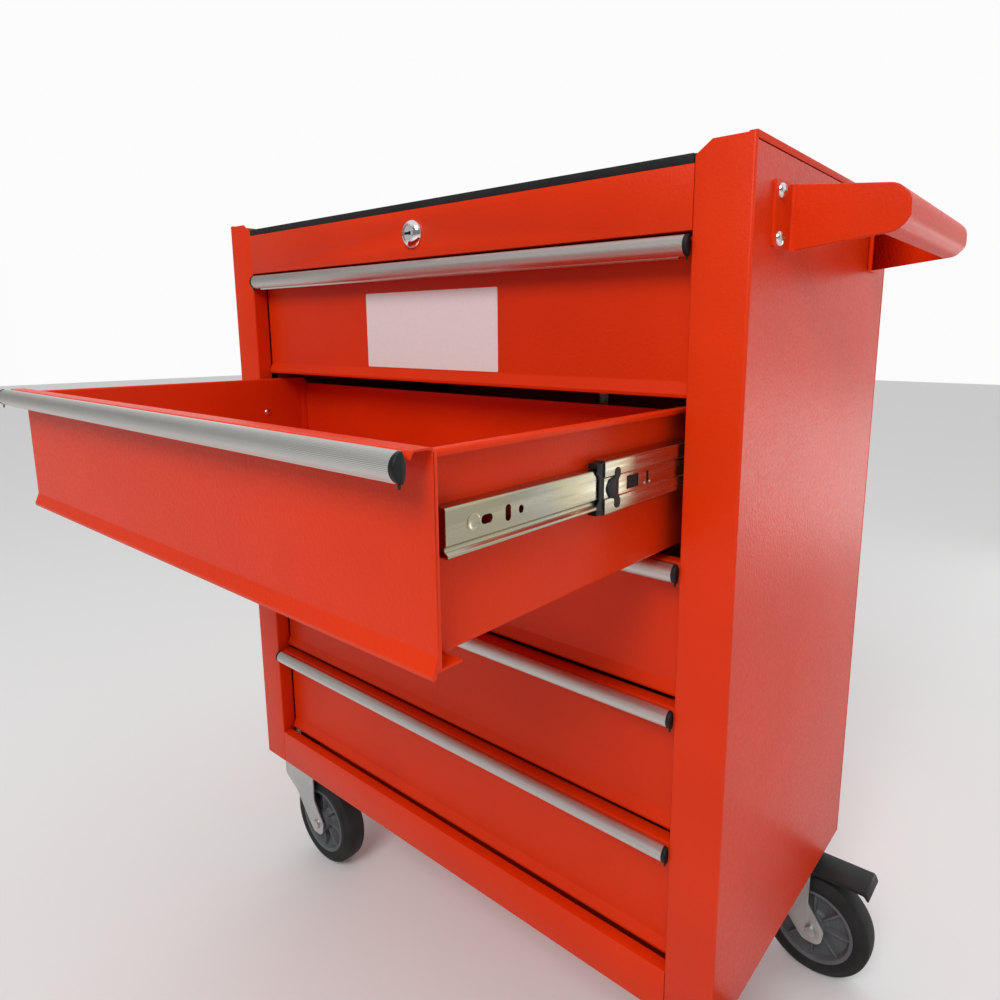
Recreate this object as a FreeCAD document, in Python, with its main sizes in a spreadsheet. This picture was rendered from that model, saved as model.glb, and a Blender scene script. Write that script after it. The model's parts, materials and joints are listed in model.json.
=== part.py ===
import FreeCAD, Part
import os
import re
import Sketcher

# A five-drawer tool cart: a sheet-steel cabinet on swivel casters, drawers on telescopic slides, a
# cylinder lock that drops a hooked bar behind the drawers, and a push handle on the right-hand side.
#
# Frames. The cabinet frame has X to the right from the middle, Y back from the front posts' face and Z up
# from the floor. A drawer's frame has the same X, Y from the posts' face with the drawer shut, and Z from
# the top of its edge handle. A caster's frame stands on the floor under its swivel axis. The finished
# part's origin is on the floor, under the middle of its bounding box.

# Driving dimensions in millimetres: alias, value, meaning
SIZES = [
    ("cab_width", 680, "cabinet width over the side panels"),
    ("cab_depth", 340, "cabinet depth, posts' face to back panel"),
    ("body_low", 155, "cabinet's underside over the floor"),
    ("rail_top", 855, "top of the lock rail over the floor"),
    ("sheet", 1, "thickness of the sheet steel"),
    ("post_width", 44.5, "face width of a front post"),
    ("post_rise", 14, "post's top over the lock rail"),
    ("post_cut_wide", 13, "width of the post's cut corner"),
    ("post_cut_tall", 8, "height of the post's cut corner"),
    ("reveal", 17.5, "depth of the post's inner return"),
    ("rear_return", 20, "width of the side panel's rear flange"),
    ("side_rise", 9, "side panel's top over the lock rail"),
    ("rim_rise", 15, "top tray's rim over the lock rail"),
    ("rim_gap", 1, "joint between the side panel and the rim"),
    ("rim_width", 6, "width of the folded rim"),
    ("mat_thick", 7, "thickness of the worktop mat"),
    ("lock_rail_tall", 44.6, "height of the lock rail"),
    ("lock_rail_deep", 21, "depth of the lock rail's top flange"),
    ("lock_rail_lip", 14, "depth of the lock rail's bottom flange"),
    ("low_rail_tall", 44, "height of the bottom rail"),
    ("low_rail_lip", 12, "depth of the bottom rail's top flange"),
    ("low_rail_foot", 6, "depth of the bottom rail's bottom flange"),
    ("upright_front", 25, "front slide upright, its front face"),
    ("upright_rear", 286, "rear slide upright, its front face"),
    ("upright_wide", 35, "width of a slide upright"),
    ("upright_thick", 1.5, "thickness of a slide upright"),
    ("pitch", 122.4, "height from one drawer to the next"),
    ("first_drop", 47, "lock rail's top to the first drawer's handle top"),
    ("shown_open", 267.5, "how far the second drawer stands open"),
    ("front_half", 294, "half width of a drawer front"),
    ("face_back", 18.5, "drawer front's face behind the posts' face"),
    ("ledge_front", 6.5, "front edge of the ledge over the finger space"),
    ("clip_front", 2.6, "front of the flange that holds the handle"),
    ("clip_low", 13.2, "bottom of that flange under the handle top"),
    ("clip_bend", 6.8, "where the slope meets that flange"),
    ("skirt_start", 105.8, "where the face bends forward at its foot"),
    ("skirt_front", 14.6, "front of the foot's hem"),
    ("skirt_foot", 115.2, "height at which the hem starts"),
    ("hem_low", 118.2, "lowest edge of a drawer front"),
    ("floor_low", 113.4, "underside of the drawer's floor"),
    ("foot_back", 35.8, "rear edge of the front's bottom flange"),
    ("return_deep", 5.5, "depth of the front's side flanges"),
    ("return_drop", 3, "side flanges' top under the handle top"),
    ("box_half", 282, "half width of the drawer box"),
    ("box_back", 325, "outer face of the drawer's rear panel"),
    ("side_drop", 2.5, "drawer side's top under the handle top"),
    ("rear_drop", 10, "rear panel's top under the handle top"),
    ("hem_out", 288, "outer edge of the drawer side's top flange"),
    ("hem_tall", 4, "height of that flange's turned-down edge"),
    ("hem_start", 24, "where that flange begins"),
    ("edge_front", 5.5, "edge handle's front before the posts' face"),
    ("edge_tall", 15, "height of the edge handle"),
    ("edge_round", 4, "radius of the edge handle's front"),
    ("edge_wall", 1.4, "wall of the edge handle's extrusion"),
    ("edge_half", 294.4, "half length of the edge handle with its caps"),
    ("cap_thick", 3.5, "thickness of an end cap"),
    ("hook_back", 5, "back of the edge handle's hook"),
    ("hook_wall", 1, "thickness of that hook"),
    ("hook_top", 11, "top of that hook under the handle top"),
    ("hook_low", 16.5, "bottom of that hook under the handle top"),
    ("slide_drop", 45.5, "slide's middle under the handle top"),
    ("slide_long", 300, "length of the slides"),
    ("slide_out", 294.7, "cabinet member's outer face"),
    ("outer_wall", 1.2, "cabinet member's wall"),
    ("outer_half", 22.75, "half height of the cabinet member"),
    ("outer_start", 30, "front end of the cabinet member"),
    ("mid_out", 293, "intermediate member's outer beads"),
    ("mid_web", 292.2, "intermediate member's web"),
    ("mid_half", 18.25, "half height of the intermediate member"),
    ("mid_bead", 7.4, "inner edge of its beads from its middle"),
    ("mid_start", 33.25, "front end of the intermediate member"),
    ("mid_long", 295, "length of the intermediate member"),
    ("flange_in", 284, "inner edge of those two members' flanges"),
    ("inner_out", 290.5, "drawer member's outer face"),
    ("inner_half", 13.2, "half height of the drawer member"),
    ("inner_start", 29.2, "front end of the drawer member"),
    ("lock_drop", 22.5, "lock's axis under the lock rail's top"),
    ("bezel_radius", 12.5, "lock bezel"),
    ("bezel_proud", 4, "bezel before the lock rail"),
    ("barrel_radius", 9.5, "lock housing behind the rail"),
    ("plug_radius", 8, "lock plug"),
    ("plug_gap", 0.05, "radial play of the plug and of each pin"),
    ("plug_proud", 5, "plug before the lock rail"),
    ("plug_back", 22, "rear end of the plug"),
    ("cam_thick", 2, "thickness of the lock cam"),
    ("cam_arm", 10, "cam's drive pin from the lock's axis"),
    ("pin_half", 1.2, "half width of the cam's square drive pin"),
    ("pin_long", 2.5, "length of the cam's drive pin"),
    ("bar_slot_low", 4.2, "lower edge of the bar's slot under the lock's axis"),
    ("bar_slot_high", 2, "upper edge of the bar's slot over the lock's axis"),
    ("bar_slot_side", 2.5, "bar's slot past the drive pin's middle at each end of the turn"),
    ("bar_plate", 1.5, "thickness of the bar's slotted plate"),
    ("bar_plate_low", 8.5, "foot of the slotted plate under the lock's axis"),
    ("bar_front", 329, "lock bar's front face"),
    ("bar_thick", 3, "lock bar's thickness"),
    ("bar_half", 10, "lock bar's half width"),
    ("bar_low", 180, "lock bar's foot over the floor"),
    ("bar_top", 840, "lock bar's top over the floor"),
    ("catch_front", 319, "front of the lock bar's catches"),
    ("grip_out", 422, "outer face of the side handle's grip"),
    ("grip_thick", 1.5, "sheet of the side handle's grip"),
    ("grip_front", 63, "outer face of the handle's front bracket"),
    ("grip_back", 276, "outer face of the handle's rear bracket"),
    ("bracket_thick", 2, "sheet of the handle's brackets"),
    ("bracket_foot", 32, "length of a bracket's foot on the cabinet"),
    ("screw_inset", 22, "screws from the bracket's inner face"),
    ("screw_high", 17.5, "upper screw under the lock rail's top"),
    ("screw_low", 50, "lower screw under the lock rail's top"),
    ("screw_radius", 2.5, "handle screws"),
    ("caster_side", 298.5, "swivel axes from the cabinet's middle"),
    ("caster_front", 43.5, "front swivel axes behind the posts' face"),
    ("caster_rear", 296.5, "rear swivel axes behind the posts' face"),
    ("plate_long", 80, "caster plate along X"),
    ("plate_wide", 80, "caster plate along Y"),
    ("plate_thick", 3, "caster plate"),
    ("bolt_x", 62, "bolt spacing along X"),
    ("bolt_y", 60, "bolt spacing along Y"),
    ("bolt_radius", 4, "caster bolts"),
    ("race_radius", 22, "swivel race"),
    ("race_low", 141, "underside of the swivel race"),
    ("king_radius", 6, "swivel pin and wheel axle"),
    ("crown_top", 140.5, "top of the fork"),
    ("crown_thick", 3, "fork's crown"),
    ("fork_half", 33.5, "half length of the fork along X"),
    ("leg_in", 21, "fork leg's inner face"),
    ("leg_thick", 2.5, "fork leg"),
    ("trail", 38, "wheel axle behind the swivel axis"),
    ("wheel_radius", 62.5, "wheel over the tyre"),
    ("rim_radius", 46, "wheel body"),
    ("tyre_half", 17, "half width of the tyre"),
    ("hub_half", 20, "half width of the hub"),
    ("pedal_x", 26, "brake pedal's pivot from the swivel axis"),
    ("pedal_z", 131, "brake pedal's pivot over the floor"),
    ("pedal_reach", 94, "pedal's end from the swivel axis"),
]
ALIASES = {alias for alias, value, meaning in SIZES}
DRAWERS = range(1, 6)
OPEN_DRAWER = 2
SIDES = (-1, 1)

doc = FreeCAD.newDocument("tool_cart")
sheet = doc.addObject("Spreadsheet::Sheet", "Sizes")
for row, (alias, value, meaning) in enumerate(SIZES, start=1):
    sheet.set(f"A{row}", alias)
    sheet.set(f"B{row}", str(value))
    sheet.set(f"C{row}", meaning)
    sheet.setAlias(f"B{row}", alias)
doc.recompute()


# --- binding to the sheet ---------------------------------------------------------------------------

def bound(text):
    """An expression with each alias spelled out as a cell of the sheet."""
    return re.sub(r"[a-z_]\w*", lambda word: spelled(word.group()), str(text))


def spelled(word):
    return "Sizes." + word if word in ALIASES else word


def amount(text):
    """The number that an expression gives."""
    return float(sheet.evalExpression(bound(text)))


def bind(feature, **fields):
    for field, text in fields.items():
        feature.setExpression(field.replace("__", "."), bound(text))


def place(part, x=0, y=0, z=0):
    """Put a part, drawn in a frame of its own, at a point of the cabinet frame."""
    bind(part, Placement__Base__x=f"{SHIFT_X} + {x}", Placement__Base__y=f"{SHIFT_Y} + {y}",
         Placement__Base__z=z)


# From the cabinet frame to the finished part's frame
SHIFT_X = "(cab_width / 2 - grip_out) / 2"
SHIFT_Y = "(shown_open + edge_front - cab_depth) / 2"


# --- PartDesign helpers -----------------------------------------------------------------------------

def new_body(label):
    body = doc.addObject("PartDesign::Body", label)
    body.Label = label
    return body


def origin_plane(body, plane):
    return next(item for item in body.Origin.OriginFeatures if item.Role == plane + "_Plane")


def draw(sketch, corners):
    """A closed outline. Each corner is bound to the sheet; a third value rounds it to that radius."""
    first = sketch.GeometryCount
    count = len(corners)
    points = [FreeCAD.Vector(amount(corner[0]), amount(corner[1]), 0) for corner in corners]
    for i, point in enumerate(points):
        sketch.addGeometry(Part.LineSegment(point, points[(i + 1) % count]))
    for i in range(count):
        sketch.addConstraint(Sketcher.Constraint("Coincident", first + i, 2, first + (i + 1) % count, 1))
    for i, corner in enumerate(corners):
        for kind, text, axis in (("DistanceX", corner[0], -2), ("DistanceY", corner[1], -1)):
            pin_corner(sketch, first + i, kind, text, axis)
    for i, corner in enumerate(corners):
        if len(corner) == 3:
            arc = sketch.GeometryCount
            sketch.fillet(first + (i - 1) % count, 2, amount(corner[2]), True, True)
            index = sketch.addConstraint(Sketcher.Constraint("Radius", arc, amount(corner[2])))
            sketch.setExpression(f"Constraints[{index}]", bound(corner[2]))


def pin_corner(sketch, line, kind, text, axis):
    value = amount(text)
    if value == 0:
        sketch.addConstraint(Sketcher.Constraint("PointOnObject", line, 1, axis))
    else:
        index = sketch.addConstraint(Sketcher.Constraint(kind, -1, 1, line, 1, value))
        sketch.setExpression(f"Constraints[{index}]", bound(text))


def new_sketch(body, plane, start, *outlines):
    """A sketch on one of the body's origin planes, moved by start along that plane's axis."""
    sketch = body.newObject("Sketcher::SketchObject", body.Label + "_outline")
    sketch.AttachmentSupport = (origin_plane(body, plane), [""])
    sketch.MapMode = "FlatFace"
    sign = "-1" if plane == "XZ" else "1"
    sketch.setExpression("AttachmentOffset.Base.z", bound(f"{sign} * ({start})"))
    for corners in outlines:
        draw(sketch, corners)
    return sketch


def pad(body, plane, start, end, *outlines):
    """Extrude outlines from start to end along the axis that the plane leaves out."""
    feature = body.newObject("PartDesign::Pad", body.Label + "_pad")
    feature.Profile = new_sketch(body, plane, start, *outlines)
    feature.Reversed = plane == "XZ"
    bind(feature, Length=f"{end} - ({start})")
    body.Tip = feature
    return feature


def cut(body, plane, start, end, *outlines):
    """Cut outlines out of the body from start to end, and check that something went."""
    doc.recompute()
    before = body.Shape.Volume
    feature = body.newObject("PartDesign::Pocket", body.Label + "_cut")
    feature.Profile = new_sketch(body, plane, start, *outlines)
    feature.Reversed = plane != "XZ"
    bind(feature, Length=f"{end} - ({start})")
    body.Tip = feature
    doc.recompute()
    if body.Shape.Volume >= before:
        raise RuntimeError(f"{body.Label}: a cut removed nothing")


def drill(body, plane, start, end, radius, *centres):
    """Round holes along the axis that the plane leaves out."""
    doc.recompute()
    before = body.Shape.Volume
    sketch = new_sketch(body, plane, start)
    for across, up in centres:
        centre = FreeCAD.Vector(amount(across), amount(up), 0)
        circle = sketch.addGeometry(Part.Circle(centre, FreeCAD.Vector(0, 0, 1), amount(radius)))
        index = sketch.addConstraint(Sketcher.Constraint("Radius", circle, amount(radius)))
        sketch.setExpression(f"Constraints[{index}]", bound(radius))
        for kind, text, axis in (("DistanceX", across, -2), ("DistanceY", up, -1)):
            pin_centre(sketch, circle, kind, text, axis)
    feature = body.newObject("PartDesign::Pocket", body.Label + "_hole")
    feature.Profile = sketch
    feature.Reversed = plane != "XZ"
    bind(feature, Length=f"{end} - ({start})")
    body.Tip = feature
    doc.recompute()
    if body.Shape.Volume >= before:
        raise RuntimeError(f"{body.Label}: a hole removed nothing")


def pin_centre(sketch, circle, kind, text, axis):
    value = amount(text)
    if value == 0:
        sketch.addConstraint(Sketcher.Constraint("PointOnObject", circle, 3, axis))
    else:
        index = sketch.addConstraint(Sketcher.Constraint(kind, -1, 1, circle, 3, value))
        sketch.setExpression(f"Constraints[{index}]", bound(text))


def turn(body, plane, axis, *outlines):
    """Revolve outlines a full turn about one of the sketch's own axes, H_Axis or V_Axis."""
    sketch = new_sketch(body, plane, 0, *outlines)
    feature = body.newObject("PartDesign::Revolution", body.Label + "_turned")
    feature.Profile = sketch
    feature.ReferenceAxis = (sketch, [axis])
    feature.Angle = 360
    body.Tip = feature


def block(x0, x1, y0, y1):
    """The outline of a rectangle."""
    return [(x0, y0), (x1, y0), (x1, y1), (x0, y1)]


def group(label, members):
    """Separate solids under one name."""
    compound = doc.addObject("Part::Compound", label)
    compound.Label = label
    compound.Links = members
    return compound


# --- cabinet ----------------------------------------------------------------------------------------

HALF = "cab_width / 2"
POST_IN = "(cab_width / 2 - post_width)"
POST_TOP = "rail_top + post_rise"
SIDE_TOP = "rail_top + side_rise"
RIM_LOW = "rail_top + side_rise + rim_gap"
RIM_TOP = "rail_top + rim_rise"
WALL_IN = "(cab_width / 2 - sheet)"
SCREWS_Z = ("rail_top - screw_low", "rail_top - screw_high")
SCREWS_Y = ("grip_front + bracket_thick - screw_inset", "grip_back - bracket_thick + screw_inset")


def side_panel(name, side):
    """One sheet: side wall, front post with a cut corner and an inner return, rear flange."""
    body = new_body(name)
    pad(body, "XZ", 0, "sheet", [
        (f"{side} * {POST_IN}", "body_low"),
        (f"{side} * {HALF}", "body_low"),
        (f"{side} * {HALF}", POST_TOP),
        (f"{side} * ({POST_IN} + post_cut_wide)", POST_TOP),
        (f"{side} * {POST_IN}", f"{POST_TOP} - post_cut_tall"),
    ])
    pad(body, "XY", "body_low", SIDE_TOP, [
        (f"{side} * {WALL_IN}", "sheet"),
        (f"{side} * {HALF}", "sheet"),
        (f"{side} * {HALF}", "cab_depth - sheet"),
        (f"{side} * ({HALF} - rear_return)", "cab_depth - sheet"),
        (f"{side} * ({HALF} - rear_return)", "cab_depth - 2 * sheet"),
        (f"{side} * {WALL_IN}", "cab_depth - 2 * sheet"),
    ])
    pad(body, "XY", "body_low + sheet", "rail_top - sheet",
        block(f"{side} * {POST_IN}", f"{side} * ({POST_IN} + sheet)", "sheet", "reveal"))
    if side > 0:
        holes = [(y, z) for y in SCREWS_Y for z in SCREWS_Z]
        drill(body, "YZ", WALL_IN, HALF, "screw_radius + plug_gap", *holes)
    place(body)
    return body


GUIDE_OUT = "(bar_half + 2.5)"
GUIDE_IN = "(bar_half + 1)"
GUIDE_FRONT = "bar_front - 1.5"
GUIDES_Z = ("rail_top - first_drop + 60 - 2 * pitch", "rail_top - first_drop + 60 - 4 * pitch")
GUIDE_TALL = 12


def back_panel():
    """The rear sheet with two welded loops that guide the lock bar."""
    body = new_body("back_panel")
    pad(body, "XZ", "cab_depth - sheet", "cab_depth",
        block(f"-1 * {HALF}", HALF, "body_low", SIDE_TOP))
    for low in GUIDES_Z:
        pad(body, "XY", low, f"{low} + {GUIDE_TALL}", [
            (f"-1 * {GUIDE_OUT}", "cab_depth - sheet"),
            (f"-1 * {GUIDE_OUT}", GUIDE_FRONT),
            (GUIDE_OUT, GUIDE_FRONT),
            (GUIDE_OUT, "cab_depth - sheet"),
            (GUIDE_IN, "cab_depth - sheet"),
            (GUIDE_IN, "bar_front - 0.5"),
            (f"-1 * {GUIDE_IN}", "bar_front - 0.5"),
            (f"-1 * {GUIDE_IN}", "cab_depth - sheet"),
        ])
    place(body)
    return body


def folded_rim(out, inward):
    """Section of the top tray's rim: an upside-down channel, from its outer face inward."""
    return [
        (out, RIM_LOW),
        (out, RIM_TOP),
        (f"{out} {inward} rim_width", RIM_TOP),
        (f"{out} {inward} rim_width", RIM_LOW),
        (f"{out} {inward} (rim_width - sheet)", RIM_LOW),
        (f"{out} {inward} (rim_width - sheet)", f"{RIM_TOP} - sheet"),
        (f"{out} {inward} sheet", f"{RIM_TOP} - sheet"),
        (f"{out} {inward} sheet", RIM_LOW),
    ]


def top_panel():
    """A shallow tray: floor and folded rims at the sides and the back."""
    body = new_body("top_panel")
    pad(body, "XY", "rail_top - sheet", "rail_top",
        block(f"-1 * {WALL_IN}", WALL_IN, "lock_rail_deep", "cab_depth - 2 * sheet"))
    pad(body, "XZ", "sheet", "cab_depth", folded_rim(HALF, "-"))
    pad(body, "XZ", "sheet", "cab_depth", folded_rim(f"-1 * {HALF}", "+"))
    pad(body, "YZ", f"-1 * {HALF}", HALF, folded_rim("cab_depth", "-"))
    curb_in = f"({HALF} - rim_width)"
    curb_out = f"({HALF} - rim_width + sheet)"
    for side in SIDES:
        pad(body, "XY", "rail_top - sheet", RIM_LOW,
            block(f"{side} * {curb_in}", f"{side} * {curb_out}", "sheet", "cab_depth - rim_width"))
    pad(body, "XY", "rail_top - sheet", RIM_LOW,
        block(f"-1 * {curb_out}", curb_out, "cab_depth - rim_width", "cab_depth - rim_width + sheet"))
    place(body)
    return body


def top_mat():
    """The mat fills the tray and comes forward between the posts, flush with the lock rail."""
    body = new_body("top_mat")
    half_wide = "(cab_width / 2 - rim_width - 0.5)"
    half_front = f"({POST_IN} - 0.5)"
    back = "cab_depth - rim_width - 0.5"
    pad(body, "XY", "rail_top", "rail_top + mat_thick", [
        (f"-1 * {half_front}", 0),
        (half_front, 0),
        (half_front, "2 * sheet"),
        (half_wide, "2 * sheet"),
        (half_wide, back),
        (f"-1 * {half_wide}", back),
        (f"-1 * {half_wide}", "2 * sheet"),
        (f"-1 * {half_front}", "2 * sheet"),
    ])
    place(body)
    return body


def channel_rail(name, low, high, top_deep, foot_deep):
    """A rail between the posts: front web with a top and a bottom flange."""
    body = new_body(name)
    pad(body, "YZ", f"-1 * {POST_IN}", POST_IN, [
        (0, low),
        (0, high),
        (top_deep, high),
        (top_deep, f"{high} - sheet"),
        ("sheet", f"{high} - sheet"),
        ("sheet", f"{low} + sheet"),
        (foot_deep, f"{low} + sheet"),
        (foot_deep, low),
    ])
    place(body)
    return body


def lock_rail():
    body = channel_rail("lock_rail", "rail_top - lock_rail_tall", "rail_top", "lock_rail_deep",
                        "lock_rail_lip")
    drill(body, "XZ", 0, "sheet", "barrel_radius + plug_gap", (0, "rail_top - lock_drop"))
    return body


def bottom_rail():
    return channel_rail("bottom_rail", "body_low", "body_low + low_rail_tall", "low_rail_lip",
                        "low_rail_foot")


CASTERS = {
    "front_left": ("-1 * caster_side", "caster_front"),
    "front_right": ("caster_side", "caster_front"),
    "rear_left": ("-1 * caster_side", "caster_rear"),
    "rear_right": ("caster_side", "caster_rear"),
}
BOLTS = [(f"{i} * bolt_x / 2", f"{j} * bolt_y / 2") for i in SIDES for j in SIDES]


def base_panel():
    body = new_body("base_panel")
    pad(body, "XY", "body_low", "body_low + sheet",
        block(f"-1 * {WALL_IN}", WALL_IN, "low_rail_foot", "cab_depth - 2 * sheet"))
    holes = [(f"{x} + {i}", f"{y} + {j}") for x, y in CASTERS.values() for i, j in BOLTS]
    drill(body, "XY", "body_low", "body_low + sheet", "bolt_radius + plug_gap", *holes)
    place(body)
    return body


def slide_uprights():
    """Four channels inside the side walls, open towards them, that carry the slides."""
    members = []
    for side in SIDES:
        for front in ("upright_front", "upright_rear"):
            body = new_body("upright")
            pad(body, "XY", "body_low + sheet", "rail_top - 2 * sheet", [
                (f"{side} * {WALL_IN}", front),
                (f"{side} * slide_out", front),
                (f"{side} * slide_out", f"{front} + upright_wide"),
                (f"{side} * {WALL_IN}", f"{front} + upright_wide"),
                (f"{side} * {WALL_IN}", f"{front} + upright_wide - upright_thick"),
                (f"{side} * (slide_out + upright_thick)", f"{front} + upright_wide - upright_thick"),
                (f"{side} * (slide_out + upright_thick)", f"{front} + upright_thick"),
                (f"{side} * {WALL_IN}", f"{front} + upright_thick"),
            ])
            place(body)
            members.append(body)
    return group("slide_uprights", members)


# --- drawers and slides -----------------------------------------------------------------------------

def drawer_top(number):
    return f"(rail_top - first_drop - {number - 1} * pitch)"


def drawer_open(number):
    """How far forward of shut a drawer stands."""
    return "shown_open" if number == OPEN_DRAWER else "0"


def slide_channel(body, side, out, half_tall, wall, start, length):
    """A plain channel with its web outboard and its flanges towards the drawer."""
    inner = "box_half" if out == "inner_out" else "flange_in"
    pad(body, "XZ", start, f"{start} + {length}", [
        (f"{side} * {inner}", half_tall),
        (f"{side} * {out}", half_tall),
        (f"{side} * {out}", f"-1 * {half_tall}"),
        (f"{side} * {inner}", f"-1 * {half_tall}"),
        (f"{side} * {inner}", f"{wall} - {half_tall}"),
        (f"{side} * ({out} - {wall})", f"{wall} - {half_tall}"),
        (f"{side} * ({out} - {wall})", f"{half_tall} - {wall}"),
        (f"{side} * {inner}", f"{half_tall} - {wall}"),
    ])


def beaded_channel(body, side):
    """The intermediate member: a channel whose web stands in between two beads."""
    pad(body, "XZ", "mid_start", "mid_start + mid_long", [
        (f"{side} * flange_in", "mid_half"),
        (f"{side} * mid_out", "mid_half"),
        (f"{side} * mid_out", "mid_bead"),
        (f"{side} * mid_web", "mid_bead - (mid_out - mid_web)"),
        (f"{side} * mid_web", "(mid_out - mid_web) - mid_bead"),
        (f"{side} * mid_out", "-1 * mid_bead"),
        (f"{side} * mid_out", "-1 * mid_half"),
        (f"{side} * flange_in", "-1 * mid_half"),
        (f"{side} * flange_in", "sheet - mid_half"),
        (f"{side} * (mid_out - sheet)", "sheet - mid_half"),
        (f"{side} * (mid_out - sheet)", "-1 * mid_bead"),
        (f"{side} * (mid_web - sheet)", "(mid_out - mid_web) - mid_bead"),
        (f"{side} * (mid_web - sheet)", "mid_bead - (mid_out - mid_web)"),
        (f"{side} * (mid_out - sheet)", "mid_bead"),
        (f"{side} * (mid_out - sheet)", "mid_half - sheet"),
        (f"{side} * flange_in", "mid_half - sheet"),
    ])


def outer_slide_members():
    """The ten members that are fixed to the uprights."""
    members = []
    for number in DRAWERS:
        for side in SIDES:
            body = new_body("outer_member")
            slide_channel(body, side, "slide_out", "outer_half", "outer_wall", "outer_start",
                          "slide_long")
            place(body, z=f"{drawer_top(number)} - slide_drop")
            members.append(body)
    return group("outer_slide_members", members)


def intermediate_slides(number):
    members = []
    for side in SIDES:
        body = new_body("intermediate_member")
        beaded_channel(body, side)
        place(body, y=f"(-1 * {drawer_open(number)} / 2)", z=f"{drawer_top(number)} - slide_drop")
        members.append(body)
    return group(f"drawer_{number}_intermediate_slides", members)


def drawer_slide_members(number):
    members = []
    for side in SIDES:
        body = new_body("drawer_member")
        slide_channel(body, side, "inner_out", "inner_half", "sheet", "inner_start", "slide_long")
        place_in_drawer(body, number, lift="-1 * slide_drop")
        members.append(body)
    return group(f"drawer_{number}_slide_members", members)


def place_in_drawer(part, number, lift="0"):
    place(part, y=f"(-1 * {drawer_open(number)})", z=f"{drawer_top(number)} + ({lift})")


def drawer_front_section():
    """Side view of a drawer front: clip flange, slope, ledge, face, skirt, hem and bottom flange."""
    inside = "face_back + sheet"
    return [
        ("foot_back", "-1 * floor_low"),
        ("foot_back", "-1 * (floor_low + sheet)"),
        ("skirt_front + 3.4", "-1 * (floor_low + sheet)"),
        ("skirt_front + 2.6", "-1 * (hem_low - sheet)"),
        ("skirt_front + 1.6", "-1 * hem_low"),
        ("skirt_front + 0.5", "-1 * (hem_low - 0.5)"),
        ("skirt_front", "-1 * skirt_foot"),
        ("face_back", "-1 * skirt_start"),
        ("face_back", "-1 * sheet"),
        ("ledge_front + 0.6", "-1 * sheet"),
        ("clip_front + sheet", "-1 * (clip_bend + 0.3)"),
        ("clip_front + sheet", "-1 * clip_low"),
        ("clip_front", "-1 * clip_low"),
        ("clip_front", "-1 * clip_bend"),
        ("ledge_front", 0),
        (inside, 0),
        (inside, "-1 * skirt_start"),
        ("skirt_front + 1.8", "-1 * floor_low"),
    ]


def drawer_tray(number):
    """The drawer: pan front, and a box of floor, sides with turned-out tops, and a low rear."""
    body = new_body(f"drawer_{number}_tray")
    pad(body, "YZ", "-1 * front_half", "front_half", drawer_front_section())
    pad(body, "XY", "-1 * floor_low", "sheet - floor_low",
        block("-1 * box_half", "box_half", "face_back", "box_back"))
    pad(body, "XZ", "box_back - sheet", "box_back",
        block("-1 * box_half", "box_half", "-1 * floor_low", "-1 * rear_drop"))
    for side in SIDES:
        pad(body, "YZ", *across(side, "front_half - sheet", "front_half"), [
            ("face_back + sheet", "-1 * return_drop"),
            ("face_back + return_deep", "-1 * return_drop"),
            ("face_back + return_deep", "-1 * floor_low"),
            ("face_back - 2", "-1 * floor_low"),
            ("face_back + sheet", "-1 * skirt_start"),
        ])
        pad(body, "YZ", *across(side, "box_half - sheet", "box_half"),
            block("face_back + sheet", "box_back", "-1 * floor_low", "-1 * side_drop"))
        pad(body, "XZ", "hem_start", "box_back", [
            (f"{side} * box_half", "-1 * side_drop"),
            (f"{side} * hem_out", "-1 * side_drop"),
            (f"{side} * hem_out", "-1 * (side_drop + hem_tall)"),
            (f"{side} * (hem_out - sheet)", "-1 * (side_drop + hem_tall)"),
            (f"{side} * (hem_out - sheet)", "-1 * (side_drop + sheet)"),
            (f"{side} * box_half", "-1 * (side_drop + sheet)"),
        ])
    place_in_drawer(body, number)
    return body


def across(side, low, high):
    """A span along X on the left (-1) or the right (1), from its lower to its higher end."""
    return (f"({low})", f"({high})") if side > 0 else (f"(-1 * ({high}))", f"(-1 * ({low}))")


def edge_outline():
    """Side view of the edge handle: rounded front, and a hook under and behind the clip flange."""
    return [
        ("-1 * edge_front", 0, "edge_round"),
        ("clip_front", 0),
        ("clip_front", "-1 * (clip_low + 0.3)"),
        ("hook_back - hook_wall", "-1 * (clip_low + 0.3)"),
        ("hook_back - hook_wall", "-1 * hook_top"),
        ("hook_back", "-1 * hook_top"),
        ("hook_back", "-1 * hook_low"),
        ("hook_back - 1.6", "-1 * hook_low"),
        ("clip_front", "-1 * edge_tall"),
        ("-1 * edge_front", "-1 * edge_tall", "edge_round"),
    ]


def drawer_handle(number):
    """The aluminium edge handle, a hollow extrusion along the whole front."""
    body = new_body(f"drawer_{number}_handle")
    hollow = [
        ("edge_wall - edge_front", "-1 * edge_wall", "edge_round - edge_wall"),
        ("clip_front - edge_wall", "-1 * edge_wall"),
        ("clip_front - edge_wall", "edge_wall - edge_tall"),
        ("edge_wall - edge_front", "edge_wall - edge_tall", "edge_round - edge_wall"),
    ]
    pad(body, "YZ", "cap_thick - edge_half", "edge_half - cap_thick", edge_outline(), hollow)
    place_in_drawer(body, number)
    return body


def drawer_end_caps(number):
    members = []
    for side in SIDES:
        body = new_body("end_cap")
        pad(body, "YZ", *across(side, "edge_half - cap_thick", "edge_half"), edge_outline())
        place_in_drawer(body, number)
        members.append(body)
    return group(f"drawer_{number}_end_caps", members)


# --- lock -------------------------------------------------------------------------------------------

LOCK_Z = "(rail_top - lock_drop)"


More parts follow.
